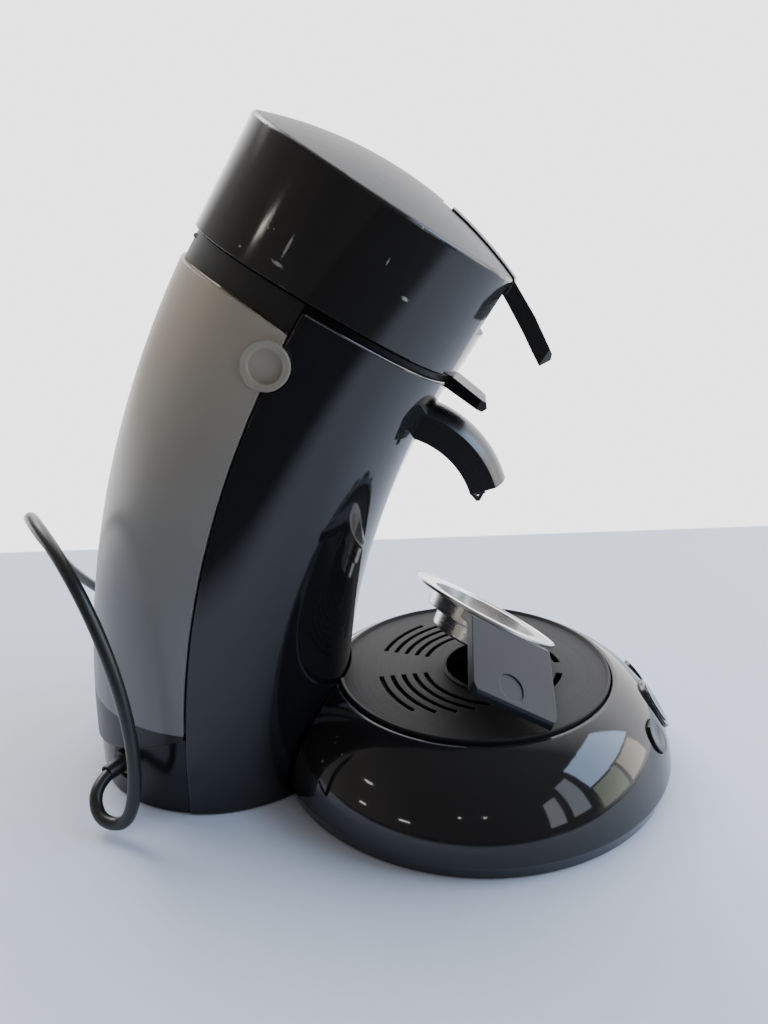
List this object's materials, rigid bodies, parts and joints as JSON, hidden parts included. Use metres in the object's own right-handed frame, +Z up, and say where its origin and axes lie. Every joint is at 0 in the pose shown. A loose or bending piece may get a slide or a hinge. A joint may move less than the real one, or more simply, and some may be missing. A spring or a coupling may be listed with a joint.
{
  "type": "pod coffee machine",
  "caption": "Leaning-column pod coffee machine with a tilted round lid, lift lever, smoky rear water tank, curved spout, round drip tray, press buttons and a loose pod holder.",
  "frame": {"origin": "bottom centre of the machine's box, without its lead", "axes": "+Z up, front with the drip tray towards -Y, +X to the machine's left as it faces the user"},
  "size_m": [0.3862, 0.3607, 0.3284],
  "materials": {
    "gloss_black": "gloss",
    "dark_plastic": "matte",
    "button_grey": "satin",
    "light_ring": "gloss",
    "smoky_clear": "gloss",
    "pale_plastic": "matte",
    "steel": "brushed",
    "boiler_metal": "satin",
    "black_rubber": "matte",
    "pin_brass": "satin",
    "board_green": "matte"
  },
  "bodies": {
    "machine": {"base_cover": "gloss_black", "base_plate": "dark_plastic", "rubber_feet": "black_rubber", "base_screws": "steel", "power_ring": "light_ring", "button_carrier": "dark_plastic", "control_board": "board_green", "column_shell": "gloss_black", "bay_wall": "dark_plastic", "rear_skirt": "dark_plastic", "seat_seal": "black_rubber", "rear_collar": "dark_plastic", "brew_chamber": "dark_plastic", "spout_hood": "gloss_black", "spout_channel": "dark_plastic", "spout_nozzle": "dark_plastic", "spout_socket": "dark_plastic", "boiler_bracket": "boiler_metal", "boiler": "boiler_metal", "thermostat": "pale_plastic", "pump_mount": "dark_plastic", "pump": "dark_plastic", "hose_suction": "black_rubber", "hose_feed": "black_rubber", "hose_head": "black_rubber", "cord_gland": "black_rubber", "power_cord": "black_rubber", "plug_body": "black_rubber", "plug_pins": "pin_brass"},
    "lid": {"lid_shell": "gloss_black", "lid_hinge_pin": "steel", "lid_liner": "dark_plastic", "lid_seal": "black_rubber", "shower_disc": "steel", "latch_housing": "dark_plastic", "lever_pin": "steel", "latch_nose": "dark_plastic"},
    "lever": {"lid_lever": "gloss_black"},
    "tank": {"water_tank": "smoky_clear", "tank_valve": "pale_plastic"},
    "drip_tray": {"drip_bowl": "dark_plastic"},
    "grate": {"drip_grate": "dark_plastic"},
    "pod_holder": {"pod_dish": "steel", "pod_grip": "dark_plastic"},
    "power_button": {"button_power": "button_grey"},
    "one_cup_button": {"button_one_cup": "button_grey"},
    "two_cup_button": {"button_two_cup": "button_grey"}
  },
  "joints": [
    {"name": "lid_hinge", "type": "hinge", "parent": "machine", "child": "lid", "pos_m": [0, 0.07432, 0.27624], "axis": [-1, 0, 0], "range_deg": [0, 75]},
    {"name": "lever_lift", "type": "hinge", "parent": "lid", "child": "lever", "pos_m": [0, -0.0366, 0.27885], "axis": [-1, 0, 0], "range_deg": [0, 35]},
    {"name": "tank_slide", "type": "slide", "parent": "machine", "child": "tank", "axis": [0, 0.9703, 0.2419], "range_m": [0, 0.028]},
    {"name": "tray_lift", "type": "slide", "parent": "machine", "child": "drip_tray", "axis": [0, -0.2079, 0.9781], "range_m": [0, 0.036]},
    {"name": "grate_lift", "type": "slide", "parent": "drip_tray", "child": "grate", "axis": [0, -0.2079, 0.9781], "range_m": [0, 0.007]},
    {"name": "pod_holder_lift", "type": "slide", "parent": "grate", "child": "pod_holder", "axis": [-0.866, 0, 0.5], "range_m": [0, 0.12]},
    {"name": "power_press", "type": "slide", "parent": "machine", "child": "power_button", "axis": [0, 0.8387, -0.5446], "range_m": [0, 0.0015], "stiffness_N_per_m": 400, "springref_m": -0.0005},
    {"name": "one_cup_press", "type": "slide", "parent": "machine", "child": "one_cup_button", "axis": [0.273, 0.793, -0.5446], "range_m": [0, 0.0015], "stiffness_N_per_m": 400, "springref_m": -0.0005},
    {"name": "two_cup_press", "type": "slide", "parent": "machine", "child": "two_cup_button", "axis": [-0.273, 0.793, -0.5446], "range_m": [0, 0.0015], "stiffness_N_per_m": 400, "springref_m": -0.0005}
  ]
}
